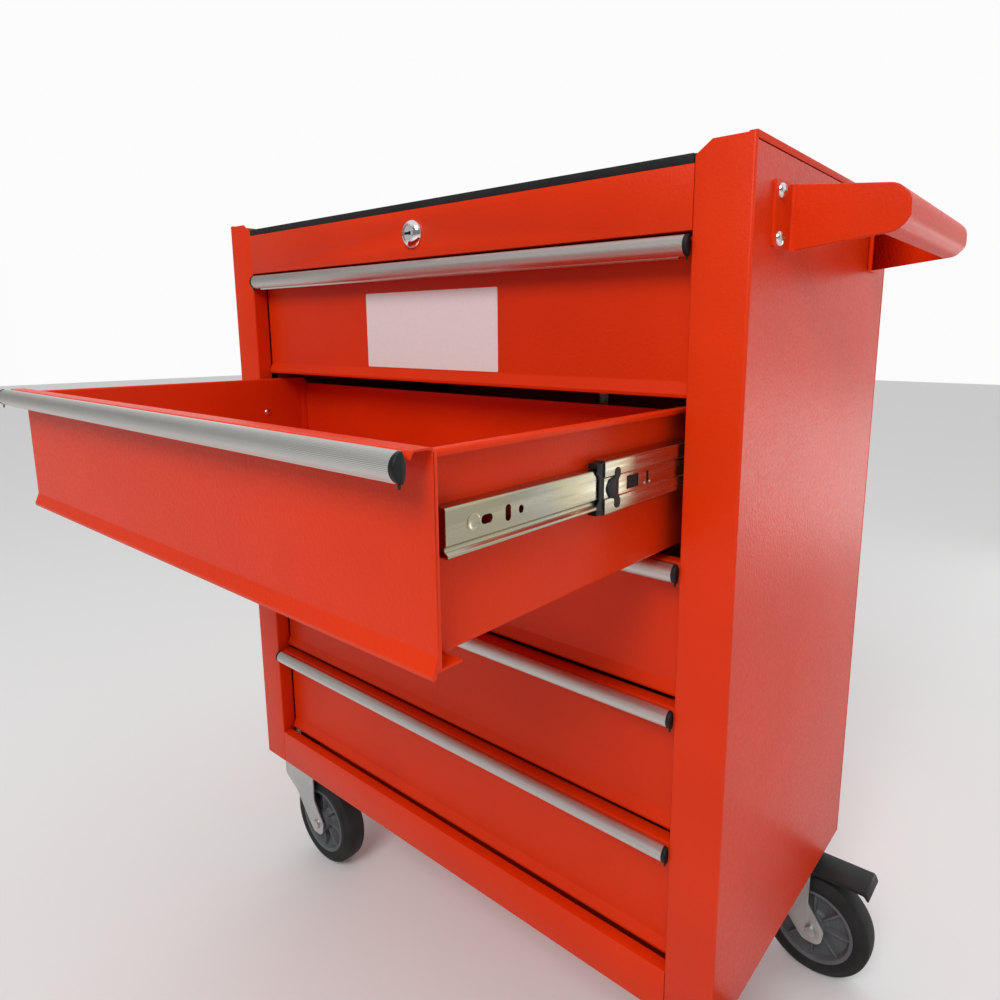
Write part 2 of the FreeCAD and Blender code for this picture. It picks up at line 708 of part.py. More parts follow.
def lock_housing():
    """Bezel and barrel, turned about the lock's axis."""
    body = new_body("lock_housing")
    bore = "plug_radius + plug_gap"
    turn(body, "XY", "V_Axis", [
        (bore, "-1 * bezel_proud"),
        ("bezel_radius - 1", "-1 * bezel_proud"),
        ("bezel_radius", "1 - bezel_proud"),
        ("bezel_radius", 0),
        ("barrel_radius", 0),
        ("barrel_radius", "plug_back - 2"),
        (bore, "plug_back - 2"),
    ])
    place(body, z=LOCK_Z)
    return body


def lock_plug():
    """The turning plug, with a keyway across its face."""
    body = new_body("lock_plug")
    turn(body, "XY", "V_Axis", [
        (0, "-1 * plug_proud"),
        ("plug_radius - 0.8", "-1 * plug_proud"),
        ("plug_radius", "0.8 - plug_proud"),
        ("plug_radius", "plug_back"),
        (0, "plug_back"),
    ])
    cut(body, "XZ", "-1 * plug_proud", "6 - plug_proud", block(-4, 4, -1, 1))
    place(body, z=LOCK_Z)
    return body


def lock_cam():
    """The plate behind the plug, with the pin that carries the lock bar."""
    body = new_body("lock_cam")
    pad(body, "XZ", "plug_back", "plug_back + cam_thick", [
        ("-1 * plug_radius", -6, 4),
        ("cam_arm + 4", -4, 2),
        ("cam_arm + 4", 4, 2),
        ("-1 * plug_radius", 6, 4),
    ])
    pad(body, "XZ", "plug_back + cam_thick", "plug_back + cam_thick + pin_long",
        block("cam_arm - pin_half", "cam_arm + pin_half", "-1 * pin_half", "pin_half"))
    place(body, z=LOCK_Z)
    return body


def lock_bar():
    """Slotted plate at the cam, rod to the back, upright bar, and a catch over each drawer's rear. They are
    welded to one another at their faces."""
    plate_front = "plug_back + cam_thick + 0.5"
    plate_back = f"{plate_front} + bar_plate"
    plate_foot = f"{LOCK_Z} - bar_plate_low"
    slot = block("-1 * bar_slot_side", "cam_arm + bar_slot_side", f"{LOCK_Z} - bar_slot_low",
                 f"{LOCK_Z} + bar_slot_high")
    plate = new_body("lock_bar_plate")
    pad(plate, "XZ", plate_front, plate_back,
        block(-5, "cam_arm + 5", plate_foot, f"{LOCK_Z} + 5"), slot)
    rod = new_body("lock_bar_rod")
    pad(rod, "XY", plate_foot, f"{plate_foot} + 4", block(-4, 4, plate_back, "bar_front"))
    upright = new_body("lock_bar_upright")
    pad(upright, "XZ", "bar_front", "bar_front + bar_thick",
        block("-1 * bar_half", "bar_half", "bar_low", "bar_top"))
    members = [plate, rod, upright] + [lock_catch(number) for number in DRAWERS]
    for part in members:
        place(part)
    return group("lock_bar", members)


def lock_catch(number):
    """An angle whose lip comes down inside the drawer's rear panel when the bar drops."""
    top = drawer_top(number)
    body = new_body("lock_bar_catch")
    pad(body, "YZ", "-1 * bar_half", "bar_half", [
        ("bar_front", f"{top} + 4"),
        ("catch_front", f"{top} + 4"),
        ("catch_front", f"{top} - 6"),
        ("catch_front + 2", f"{top} - 6"),
        ("catch_front + 2", f"{top} + 2"),
        ("bar_front", f"{top} + 2"),
    ])
    return body


# --- side handle ------------------------------------------------------------------------------------

ARM_OUTLINE = [
    (HALF, "rail_top - 10"),
    ("grip_out - 9.5", "rail_top - 17.3", 6),
    ("grip_out - 0.3", "rail_top - 26", 6),
    ("grip_out", "rail_top - 41", 5),
    ("grip_out - 8", "rail_top - 48.8", 6),
    (f"{HALF} + 8", "rail_top - 57"),
    (HALF, "rail_top - 57"),
]


def handle_grip():
    """A sheet bent round the brackets' outer ends, open towards the cabinet."""
    body = new_body("side_handle_grip")
    pad(body, "XZ", "grip_front + bracket_thick", "grip_back - bracket_thick", [
        ("grip_out - 12", "rail_top - 16.9"),
        ("grip_out - 8", "rail_top - 17.2", 8),
        ("grip_out", "rail_top - 22", 4),
        ("grip_out", "rail_top - 44", 4),
        ("grip_out - 8", "rail_top - 49", 8),
        ("grip_out - 12", "rail_top - 49.4"),
        ("grip_out - 12", "rail_top - 49.4 + grip_thick"),
        ("grip_out - 8", "rail_top - 47.3", 4),
        ("grip_out - grip_thick", "rail_top - 43", 2),
        ("grip_out - grip_thick", "rail_top - 23", 2),
        ("grip_out - 8", "rail_top - 18.9", 4),
        ("grip_out - 12", "rail_top - 16.9 - grip_thick"),
    ])
    place(body)
    return body


def handle_bracket(name, plate, foot_start, foot_end, screw_y):
    """An arm plate square to the cabinet's side, with a foot turned along it."""
    body = new_body(name)
    pad(body, "XZ", plate, f"{plate} + bracket_thick", ARM_OUTLINE)
    pad(body, "YZ", HALF, f"{HALF} + bracket_thick", [
        (foot_start, "rail_top - 57"),
        (foot_end, "rail_top - 57"),
        (foot_end, "rail_top - 10"),
        (foot_start, "rail_top - 10"),
    ])
    drill(body, "YZ", HALF, f"{HALF} + bracket_thick", "screw_radius + plug_gap",
          *[(screw_y, z) for z in SCREWS_Z])
    place(body)
    return body


def front_bracket():
    return handle_bracket("side_handle_front_bracket", "grip_front",
                          "grip_front + bracket_thick - bracket_foot", "grip_front + bracket_thick",
                          SCREWS_Y[0])


def rear_bracket():
    return handle_bracket("side_handle_rear_bracket", "grip_back - bracket_thick",
                          "grip_back - bracket_thick", "grip_back - bracket_thick + bracket_foot",
                          SCREWS_Y[1])


def handle_screws():
    """Dome-head screws, drawn along X from the bracket's face."""
    members = []
    for y in SCREWS_Y:
        for z in SCREWS_Z:
            body = new_body("handle_screw")
            turn(body, "XY", "H_Axis", [
                (-9, 0),
                (3.4, 0),
                (3.4, 3.2, 2),
                (0, 5.5),
                (0, "screw_radius"),
                (-9, "screw_radius"),
            ])
            place(body, x=f"({HALF} + bracket_thick)", y=f"({y})", z=z)
            members.append(body)
    return group("side_handle_screws", members)


def handle_nuts():
    members = []
    for y in SCREWS_Y:
        for z in SCREWS_Z:
            body = new_body("handle_nut")
            pad(body, "YZ", -4, 0, [(-2.3, -4), (2.3, -4), (4.6, 0), (2.3, 4), (-2.3, 4), (-4.6, 0)])
            drill(body, "YZ", -4, 0, "screw_radius + plug_gap", (0, 0))
            place(body, x=WALL_IN, y=f"({y})", z=z)
            members.append(body)
    return group("side_handle_nuts", members)


# --- casters ----------------------------------------------------------------------------------------

def place_caster(part, corner):
    x, y = CASTERS[corner]
    place(part, x=f"({x})", y=f"({y})")


def caster_plates():
    """Each plate carries the swivel race under it."""
    members = []
    for corner in CASTERS:
        body = new_body("caster_plate")
        pad(body, "XY", "body_low - plate_thick", "body_low",
            block("-1 * plate_long / 2", "plate_long / 2", "-1 * plate_wide / 2", "plate_wide / 2"))
        pad(body, "XY", "race_low", "body_low - plate_thick", octagon("race_radius"))
        drill(body, "XY", "race_low", "body_low", "king_radius + plug_gap", (0, 0))
        drill(body, "XY", "body_low - plate_thick", "body_low", "bolt_radius + plug_gap", *BOLTS)
        place_caster(body, corner)
        members.append(body)
    return group("caster_plates", members)


def octagon(radius):
    """A square of the given half width whose corners are rounded into a circle."""
    return [(f"{i} * {radius}", f"{j} * {radius}", f"{radius} * 0.999")
            for i, j in ((-1, -1), (1, -1), (1, 1), (-1, 1))]


def caster_bolts():
    """Four bolts through each plate and the base, their heads below."""
    members = []
    for corner in CASTERS:
        x, y = CASTERS[corner]
        for i, j in BOLTS:
            body = new_body("caster_bolt")
            turn(body, "XZ", "V_Axis", [
                (0, "body_low - plate_thick - 4"),
                ("bolt_radius + 2.5", "body_low - plate_thick - 4"),
                ("bolt_radius + 2.5", "body_low - plate_thick"),
                ("bolt_radius", "body_low - plate_thick"),
                ("bolt_radius", "body_low + 8"),
                (0, "body_low + 8"),
            ])
            place(body, x=f"({x} + {i})", y=f"({y} + {j})")
            members.append(body)
    return group("caster_bolts", members)


def fork_leg():
    """Side view of a fork leg: broad at the crown, swept back to the axle."""
    return [
        ("-1 * fork_half", "crown_top"),
        ("-1 * fork_half", "crown_top - 28", 6),
        ("-8", "crown_top - 44", 14),
        ("trail - 15", "wheel_radius - 6", 10),
        ("trail - 8", "wheel_radius - 14", 9),
        ("trail + 12", "wheel_radius - 14", 10),
        ("trail + 15", "wheel_radius + 6", 10),
        ("fork_half", "crown_top - 44", 12),
        ("fork_half", "crown_top"),
    ]


def caster_fork(corner, braked):
    """Crown, swivel pin and two legs, with the axle riveted through the legs."""
    fork = new_body("fork")
    for side in SIDES:
        pad(fork, "XZ", *across(side, "leg_in", "leg_in + leg_thick"), fork_leg())
    pad(fork, "XY", "crown_top - crown_thick", "crown_top",
        block("-1 * fork_half", "fork_half", "-1 * leg_in", "leg_in"))
    drill(fork, "XZ", "-1 * (leg_in + leg_thick)", "leg_in + leg_thick", "king_radius",
          ("trail", "wheel_radius"))
    if braked:
        drill(fork, "XZ", "-1 * (leg_in + leg_thick)", "leg_in + leg_thick", "2.5 + plug_gap",
              ("pedal_x", "pedal_z"))
    pin = doc.addObject("Part::Cylinder", "king_pin")
    bind(pin, Radius="king_radius", Height="body_low - 0.5 - crown_top", Placement__Base__z="crown_top")
    crowned = doc.addObject("Part::Fuse", "crowned_fork")
    crowned.Base = fork
    crowned.Tool = pin
    axle = doc.addObject("Part::Cylinder", "axle")
    bind(axle, Radius="king_radius", Height="2 * (leg_in + leg_thick + 3)",
         Placement__Base__x="trail", Placement__Base__z="wheel_radius",
         Placement__Base__y="leg_in + leg_thick + 3")
    axle.Placement.Rotation = FreeCAD.Rotation(FreeCAD.Vector(1, 0, 0), 90)
    both = group(f"caster_fork_{corner}", [crowned, axle])
    place_caster(both, corner)
    return both


def caster_wheel(corner):
    """Tyre and wheel body, turned about the axle."""
    x, y = CASTERS[corner]
    tyre = new_body(f"caster_tyre_{corner}")
    turn(tyre, "XY", "V_Axis", [
        ("rim_radius", "-1 * tyre_half"),
        ("wheel_radius", "-1 * tyre_half", 7),
        ("wheel_radius", "tyre_half", 7),
        ("rim_radius", "tyre_half"),
    ])
    hub = new_body(f"caster_hub_{corner}")
    bore = "king_radius + plug_gap"
    turn(hub, "XY", "V_Axis", [
        (bore, "-1 * hub_half"),
        ("king_radius + 7", "-1 * hub_half"),
        ("king_radius + 9", "-7"),
        ("rim_radius - 8", "-7"),
        ("rim_radius - 5", "-1 * tyre_half"),
        ("rim_radius", "-1 * tyre_half"),
        ("rim_radius", "tyre_half"),
        ("rim_radius - 5", "tyre_half"),
        ("rim_radius - 8", "7"),
        ("king_radius + 9", "7"),
        ("king_radius + 7", "hub_half"),
        (bore, "hub_half"),
    ])
    for part in (tyre, hub):
        place(part, x=f"({x} + trail)", y=f"({y})", z="wheel_radius")
    return [tyre, hub]


def brake_pedal(corner):
    """Lever on a pin through the fork's legs, over the tyre."""
    x, y = CASTERS[corner]
    name = f"brake_pedal_{corner}"
    lever = new_body("pedal_lever")
    reach = "(pedal_reach - pedal_x)"
    pad(lever, "XZ", "1 - leg_in", "leg_in - 1", [
        (-5, -5, 4),
        (5, -5, 3),
        (12, 1, 4),
        (f"{reach} - 4", 3, 4),
        (reach, -2, 1),
        (f"{reach} + 1.5", -1, 0.5),
        (f"{reach} - 2", 7, 4),
        (12, 5.5, 6),
        (-5, 5, 4),
    ])
    pin = doc.addObject("Part::Cylinder", "pedal_pin")
    bind(pin, Radius="2.5", Height="2 * (leg_in + leg_thick + 1)",
         Placement__Base__y="leg_in + leg_thick + 1")
    pin.Placement.Rotation = FreeCAD.Rotation(FreeCAD.Vector(1, 0, 0), 90)
    pedal = doc.addObject("Part::Fuse", name)
    pedal.Label = name
    pedal.Base = lever
    pedal.Tool = pin
    place(pedal, x=f"({x} + pedal_x)", y=f"({y})", z="pedal_z")
    return pedal


# --- the whole cart ---------------------------------------------------------------------------------

def build():
    nodes = [
        side_panel("side_panel_left", -1),
        side_panel("side_panel_right", 1),
        back_panel(),
        top_panel(),
        top_mat(),
        lock_rail(),
        bottom_rail(),
        base_panel(),
        slide_uprights(),
        outer_slide_members(),
        lock_housing(),
        lock_plug(),
        lock_cam(),
        lock_bar(),
        handle_grip(),
        front_bracket(),
        rear_bracket(),
        handle_screws(),
        handle_nuts(),
        caster_plates(),
        caster_bolts(),
    ]
    for number in DRAWERS:
        nodes.append(drawer_tray(number))
        nodes.append(drawer_handle(number))
        nodes.append(drawer_end_caps(number))
        nodes.append(drawer_slide_members(number))
        nodes.append(intermediate_slides(number))
    for corner in CASTERS:
        braked = corner.endswith("right")
        nodes.append(caster_fork(corner, braked))
        nodes.extend(caster_wheel(corner))
        if braked:
            nodes.append(brake_pedal(corner))
    return nodes


def check(nodes):
    """Stop on a failed feature or a broken shape, before anything is written."""
    for item in doc.Objects:
        if {"Invalid", "Error"} & set(item.State):
            raise RuntimeError(f"{item.Label} ({item.Name}) is {item.State}")
    for node in nodes:
        if node.Shape.isNull() or not node.Shape.isValid():
            raise RuntimeError(f"{node.Label} has no valid shape")


nodes = build()
doc.recompute()
check(nodes)
os.makedirs("parts", exist_ok=True)
for node in nodes:
    node.Shape.exportStep(f"parts/{node.Label}.step")
    print(f"{node.Label}: {len(node.Shape.Solids)} solids, {node.Shape.Volume:.0f} mm3")
print(len(nodes), "nodes")
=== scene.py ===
import json
import math

import bmesh
import bpy
from mathutils import Matrix, Vector


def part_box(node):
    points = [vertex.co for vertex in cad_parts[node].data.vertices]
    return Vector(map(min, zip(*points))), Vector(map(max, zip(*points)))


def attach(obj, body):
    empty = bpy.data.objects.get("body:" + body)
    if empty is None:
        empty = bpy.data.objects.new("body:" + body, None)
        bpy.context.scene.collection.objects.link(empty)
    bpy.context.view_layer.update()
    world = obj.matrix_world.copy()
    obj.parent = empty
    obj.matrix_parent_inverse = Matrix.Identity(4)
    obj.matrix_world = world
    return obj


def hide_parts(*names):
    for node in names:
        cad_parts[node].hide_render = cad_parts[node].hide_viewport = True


# A five-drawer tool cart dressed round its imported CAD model. Pieces are drawn in millimetres in the frame
# of the sub-part that they belong to, and put in place from that sub-part's CAD box.

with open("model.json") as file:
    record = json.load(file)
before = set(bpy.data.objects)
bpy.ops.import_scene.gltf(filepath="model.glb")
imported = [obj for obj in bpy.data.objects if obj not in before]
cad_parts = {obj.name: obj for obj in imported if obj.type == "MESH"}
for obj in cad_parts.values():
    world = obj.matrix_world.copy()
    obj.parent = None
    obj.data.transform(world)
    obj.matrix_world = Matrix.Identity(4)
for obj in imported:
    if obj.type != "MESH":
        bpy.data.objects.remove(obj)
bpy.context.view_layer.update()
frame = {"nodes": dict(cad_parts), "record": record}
MM = 0.001
SHEET = 1.0
TIGHTEST_BEND = 0.1
DRAWERS = range(1, 6)
CORNERS = ("front_left", "front_right", "rear_left", "rear_right")
SIDES = (-1, 1)


# --- places taken from the frame --------------------------------------------------------------------

def corners_mm(node):
    """A CAD node's lowest and highest corner in millimetres."""
    low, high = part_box(node)
    return low / MM, high / MM


def middle(node):
    low, high = corners_mm(node)
    return (low + high) / 2


RIGHT_WALL = corners_mm("side_panel_right")
LEFT_WALL = corners_mm("side_panel_left")
RAIL = corners_mm("lock_rail")
CAB_X = (LEFT_WALL[0].x + RIGHT_WALL[1].x) / 2
CAB_HALF = (RIGHT_WALL[1].x - LEFT_WALL[0].x) / 2
CAB_FRONT = RAIL[0].y
RAIL_TOP = RAIL[1].z
BODY_LOW = corners_mm("base_panel")[0].z
POST_TOP = RIGHT_WALL[1].z
CLIP_FRONT = 2.6


def cabinet_place():
    """Middle of the cabinet's width, the posts' face, the floor."""
    return Vector((CAB_X, CAB_FRONT, 0))


def drawer_place(number):
    """Middle of the drawer's width, the posts' face with the drawer shut, the handle's top."""
    low, high = corners_mm(f"drawer_{number}_tray")
    return Vector(((low.x + high.x) / 2, low.y - CLIP_FRONT, high.z))


# --- material nodes ---------------------------------------------------------------------------------

class Shader:
    """A Principled material with short helpers for the nodes that feed it."""

    def __init__(self, name, color, roughness, metallic=0.0, specular=0.5):
        self.material = bpy.data.materials.new(name)
        self.material.use_nodes = True
        self.tree = self.material.node_tree
        self.main = self.tree.nodes["Principled BSDF"]
        self.main.inputs["Base Color"].default_value = (*color, 1)
        self.main.inputs["Roughness"].default_value = roughness
        self.main.inputs["Metallic"].default_value = metallic
        self.main.inputs["Specular IOR Level"].default_value = specular
        self.place = self.node("ShaderNodeTexCoord").outputs["Object"]

    def node(self, kind, **fields):
        made = self.tree.nodes.new(kind)
        for field, value in fields.items():
            setattr(made, field, value)
        return made

    def link(self, source, target):
        self.tree.links.new(source, target)

    def noise(self, scale, detail, stretch=(1, 1, 1)):
        mapping = self.node("ShaderNodeMapping")
        mapping.inputs["Scale"].default_value = stretch
        self.link(self.place, mapping.inputs["Vector"])
        made = self.node("ShaderNodeTexNoise")
        made.inputs["Scale"].default_value = scale
        made.inputs["Detail"].default_value = detail
        self.link(mapping.outputs["Vector"], made.inputs["Vector"])
        return made.outputs["Fac"]

    def ramp(self, value, low, high, start, end):
        """Map start..end of a value to low..high."""
        made = self.node("ShaderNodeMapRange")
        made.inputs["From Min"].default_value = start
        made.inputs["From Max"].default_value = end
        made.inputs["To Min"].default_value = low
        made.inputs["To Max"].default_value = high
        self.link(value, made.inputs["Value"])
        return made.outputs["Result"]

    def mix(self, factor, first, second):
        made = self.node("ShaderNodeMix", data_type="RGBA")
        made.inputs["A"].default_value = (*first, 1)
        made.inputs["B"].default_value = (*second, 1)
        self.link(factor, made.inputs["Factor"])
        return made.outputs["Result"]

    def bump(self, height, strength, distance):
        made = self.node("ShaderNodeBump")
        made.inputs["Strength"].default_value = strength
        made.inputs["Distance"].default_value = distance
        self.link(height, made.inputs["Height"])
        return made.outputs["Normal"]

    def feed(self, **sockets):
        for name, source in sockets.items():
            self.link(source, self.main.inputs[name.replace("_", " ")])


def powder_coat():
    """Semi-gloss orange-red with the fine orange-peel skin of a baked powder."""
    made = Shader("red_powder_coat", (0.68, 0.031, 0.0015), 0.38, specular=0.16)
    peel = made.noise(420, 3.0)
    cloud = made.noise(9, 2.0)
    shade = made.ramp(cloud, 0, 1, 0.3, 0.7)
    made.feed(Base_Color=made.mix(shade, (0.65, 0.029, 0.0013), (0.71, 0.034, 0.0017)),
              Roughness=made.ramp(peel, 0.32, 0.46, 0.25, 0.75),
              Normal=made.bump(peel, 0.5, 0.0005))
    return made.material


def satin_aluminium():
    made = Shader("satin_aluminium", (0.62, 0.61, 0.58), 0.34, metallic=1.0)
    streak = made.noise(900, 3.0, stretch=(0.01, 1, 1))
    made.feed(Roughness=made.ramp(streak, 0.30, 0.40, 0.3, 0.7))
    return made.material


def moulded(name, color, roughness, grain=1400, depth=0.2):
    """Moulded plastic or rubber with a fine spark-eroded grain."""
    made = Shader(name, color, roughness, specular=0.22)
    skin = made.noise(grain, 2.0)
    cloud = made.noise(30, 3.0)
    lighter = tuple(c * 1.35 + 0.002 for c in color)
    made.feed(Base_Color=made.mix(made.ramp(cloud, 0, 1, 0.35, 0.65), color, lighter),
              Roughness=made.ramp(skin, roughness - 0.06, roughness + 0.08, 0.3, 0.7),
              Normal=made.bump(skin, depth, 0.0002))
    return made.material


def zinc(name, color, yellow, roughness):
    """Plated steel: rolled streaks along the length and a faint yellow passivation."""
    made = Shader(name, color, roughness, metallic=1.0)
    streak = made.noise(260, 3.0, stretch=(1, 0.04, 1))
    cloud = made.noise(24, 3.0)
    made.feed(Base_Color=made.mix(made.ramp(cloud, 0, 1, 0.35, 0.65), color, yellow),
              Roughness=made.ramp(streak, roughness - 0.08, roughness + 0.12, 0.3, 0.7),
              Normal=made.bump(streak, 0.06, 0.0001))
    return made.material


def chrome():
    made = Shader("chrome", (0.86, 0.86, 0.86), 0.08, metallic=1.0)
    haze = made.noise(400, 2.0)
    made.feed(Roughness=made.ramp(haze, 0.05, 0.13, 0.3, 0.7))
    return made.material


def nickel():
    made = Shader("nickel_fasteners", (0.72, 0.70, 0.66), 0.2, metallic=1.0)
    haze = made.noise(700, 3.0)
    made.feed(Roughness=made.ramp(haze, 0.14, 0.3, 0.3, 0.7), Normal=made.bump(haze, 0.08, 0.0001))
    return made.material


def mat_rubber():
    """Matt black worktop mat with a fine pebble."""
    made = Shader("black_mat", (0.013, 0.013, 0.014), 0.72, specular=0.25)
    pebble = made.node("ShaderNodeTexVoronoi", feature="SMOOTH_F1")
    pebble.inputs["Scale"].default_value = 420
    made.link(made.place, pebble.inputs["Vector"])
    cloud = made.noise(14, 3.0)
    shade = made.ramp(cloud, 0, 1, 0.3, 0.7)
    made.feed(Base_Color=made.mix(shade, (0.010, 0.010, 0.011), (0.019, 0.019, 0.020)),
              Roughness=made.ramp(pebble.outputs["Distance"], 0.62, 0.82, 0, 0.7),
              Normal=made.bump(pebble.outputs["Distance"], 0.5, 0.0004))
    return made.material


def label_paper():
    made = Shader("label_paper", (0.80, 0.74, 0.74), 0.5)
    fibre = made.noise(500, 4.0)
    made.feed(Base_Color=made.mix(made.ramp(fibre, 0, 1, 0.3, 0.7), (0.79, 0.73, 0.73), (0.83, 0.77, 0.77)),
              Normal=made.bump(fibre, 0.05, 0.0001))
    return made.material


MATERIALS = {
    "red_powder_coat": powder_coat(),
    "black_mat": mat_rubber(),
    "zinc_plated_steel": zinc("zinc_plated_steel", (0.40, 0.39, 0.32), (0.44, 0.40, 0.27), 0.2),
    "chrome": chrome(),
    "nickel_fasteners": nickel(),
    "caster_steel": zinc("caster_steel", (0.50, 0.52, 0.52), (0.56, 0.57, 0.54), 0.4),
    "satin_aluminium": satin_aluminium(),
    "black_plastic": moulded("black_plastic", (0.007, 0.007, 0.008), 0.42),
    "wheel_plastic": moulded("wheel_plastic", (0.09, 0.095, 0.10), 0.5),
    "pedal_plastic": moulded("pedal_plastic", (0.009, 0.009, 0.010), 0.45),
    "tyre": moulded("tyre", (0.014, 0.014, 0.014), 0.66, 900, 0.3),
}
SLOT_OF = {part["node"]: part["material_slot"] for part in frame["record"]["subparts"]}
BODY_OF = {node: body for body, nodes in frame["record"]["behaviour"]["bodies"].items() for node in nodes}


# --- mesh helpers -----------------------------------------------------------------------------------

def rounded(points, steps=5):
    """A closed outline. A point with a third value is rounded to that radius."""
    made = []
    count = len(points)
    for i, point in enumerate(points):
        here = Vector(point[:2])
        if len(point) < 3:
            made.append(here)
            continue
        before = Vector(points[i - 1][:2]) - here
        after = Vector(points[(i + 1) % count][:2]) - here
        made.extend(corner_arc(here, before, after, point[2], steps))
    return made


def corner_arc(here, before, after, radius, steps):
    """Points of the arc that rounds a corner between two directions."""
    before, after = before.normalized(), after.normalized()
    half = before.angle(after) / 2
    reach = radius / math.tan(half)
    centre = here + (before + after).normalized() * (radius / math.sin(half))
    start = here + before * reach - centre
    end = here + after * reach - centre
    sweep = start.angle_signed(end)
    return [centre + Matrix.Rotation(-sweep * k / steps, 2) @ start for k in range(steps + 1)]


def sheet_section(path, thickness, steps=5):
    """The closed section of a bent sheet. The path is one face of it, with a radius at each bend, and the
    sheet lies to the left of the path."""
    points = [Vector(point[:2]) for point in path]
    normals = [Vector((a.y - b.y, b.x - a.x)).normalized() for a, b in zip(points, points[1:])]
    other = []
    for i, point in enumerate(path):
        before, after = normals[max(i - 1, 0)], normals[min(i, len(normals) - 1)]
        corner = points[i] + (before + after) * (thickness / (1 + before.dot(after)))
        turns_left = before.cross(after) > 0
        bend = [max(radius - thickness, TIGHTEST_BEND) if turns_left else radius + thickness
                for radius in point[2:]]
        other.append((*corner, *bend))
    return rounded([*path, *reversed(other)], steps)


def prism(outline, axis, low, high):
    """A bmesh of an outline pushed along an axis. The outline's two values are the other two axes."""
    made = bmesh.new()
    rings = []
    for depth in (low, high):
        ring = []
        for across, up in outline:
            place = {"X": (depth, across, up), "Y": (across, depth, up), "Z": (across, up, depth)}[axis]
            ring.append(made.verts.new(place))
        rings.append(ring)
    count = len(outline)
    for i in range(count):
        j = (i + 1) % count
        made.faces.new((rings[0][i], rings[0][j], rings[1][j], rings[1][i]))
    made.faces.new(rings[0])
    made.faces.new(rings[1])
    bmesh.ops.recalc_face_normals(made, faces=made.faces)
    return made


def lathe(outline, axis, steps):
    """A bmesh of an outline of (along, radius) turned about an axis through the origin."""
    made = bmesh.new()
    rings = []
    for k in range(steps):
        angle = 2 * math.pi * k / steps
        ring = []
        for along, radius in outline:
            a, b = radius * math.cos(angle), radius * math.sin(angle)
            place = {"X": (along, a, b), "Y": (a, along, b), "Z": (a, b, along)}[axis]
            ring.append(made.verts.new(place))
        rings.append(ring)
    for k in range(steps):
        near, far = rings[k], rings[(k + 1) % steps]
        for i in range(len(outline) - 1):
            made.faces.new((near[i], near[i + 1], far[i + 1], far[i]))
    bmesh.ops.remove_doubles(made, verts=made.verts, dist=0.0005)
    bmesh.ops.recalc_face_normals(made, faces=made.faces)
    return made


def round_edges(made, edges, width, segments):
    bmesh.ops.bevel(made, geom=edges, offset=width, segments=segments, profile=0.5, affect="EDGES",
                    clamp_overlap=True)


def soften(made, width, angle=28):
    """Round every edge sharper than an angle."""
    sharp = [e for e in made.edges if len(e.link_faces) == 2 and e.calc_face_angle(0) > math.radians(angle)]
    round_edges(made, sharp, width, 2)
    return made


def merge(*parts):
    """Several bmeshes as one."""
    whole = bmesh.new()
    for part in parts:
        temporary = bpy.data.meshes.new("part")
        part.to_mesh(temporary)
        part.free()
        whole.from_mesh(temporary)
        bpy.data.meshes.remove(temporary)
    return whole


def on_side(side, near, far):
    """The low and high X of a stretch on the left (-1) or right (1) of the middle."""
    return sorted((side * near, side * far))


def shift(made, offset):
    bmesh.ops.translate(made, verts=made.verts, vec=Vector(offset))
    return made


def mirrored(made):
    """The mirror image of a bmesh across the YZ plane."""
    bmesh.ops.scale(made, vec=Vector((-1, 1, 1)), verts=made.verts)
    bmesh.ops.reverse_faces(made, faces=made.faces)
    return made


def in_millimetres(mesh):
    """A mesh in metres as a bmesh in millimetres."""
    made = bmesh.new()
    made.from_mesh(mesh)
    bmesh.ops.scale(made, vec=Vector((1 / MM,) * 3), verts=made.verts)
    return made


def to_object(name, made, place=(0, 0, 0), smooth_angle=30):
    """A mesh object in metres, shaded smooth except at sharp edges."""
    shift(made, place)
    bmesh.ops.scale(made, vec=Vector((MM, MM, MM)), verts=made.verts)
    made.normal_update()
    for face in made.faces:
        face.smooth = True
    for edge in made.edges:
        if len(edge.link_faces) == 2:
            edge.smooth = edge.calc_face_angle(0) < math.radians(smooth_angle)
    mesh = bpy.data.meshes.new(name)
    made.to_mesh(mesh)
    made.free()
    piece = bpy.data.objects.new(name, mesh)
    bpy.context.scene.collection.objects.link(piece)
    return piece


def dress(piece, slot, body, *nodes):
    """Give a piece its material, its body and the CAD nodes that it stands for."""
    piece.data.materials.append(MATERIALS[slot])
    if nodes:
        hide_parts(*nodes)
    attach(piece, body)


def carved(made, *cutters):
    """A bmesh with other bmeshes cut out of it."""
    piece = to_object("carved", made)
    for cutter in cutters:
        tool = to_object("cutter", cutter)
        change = piece.modifiers.new("carve", "BOOLEAN")
        change.operation = "DIFFERENCE"
        change.solver = "EXACT"
        change.object = tool
        bpy.context.view_layer.update()
        graph = bpy.context.evaluated_depsgraph_get()
        mesh = bpy.data.meshes.new_from_object(piece.evaluated_get(graph))
        piece.modifiers.clear()
        piece.data = mesh
        bpy.data.objects.remove(tool)
    result = in_millimetres(piece.data)
    bpy.data.objects.remove(piece)
    return result


def refined(node, width):
    """A CAD node's own shape with welded, cleaned and rounded edges."""
    made = in_millimetres(frame["nodes"][node].data)
    bmesh.ops.remove_doubles(made, verts=made.verts, dist=0.002)
    bmesh.ops.dissolve_limit(made, angle_limit=math.radians(2), verts=made.verts, edges=made.edges,
                             use_dissolve_boundaries=False)
    soften(made, width)
    dress(to_object(node + "_shell", made), SLOT_OF[node], BODY_OF[node], node)


# --- drawers ----------------------------------------------------------------------------------------

# X is from the drawer's middle, Y from the posts' face, Z from the handle's top.

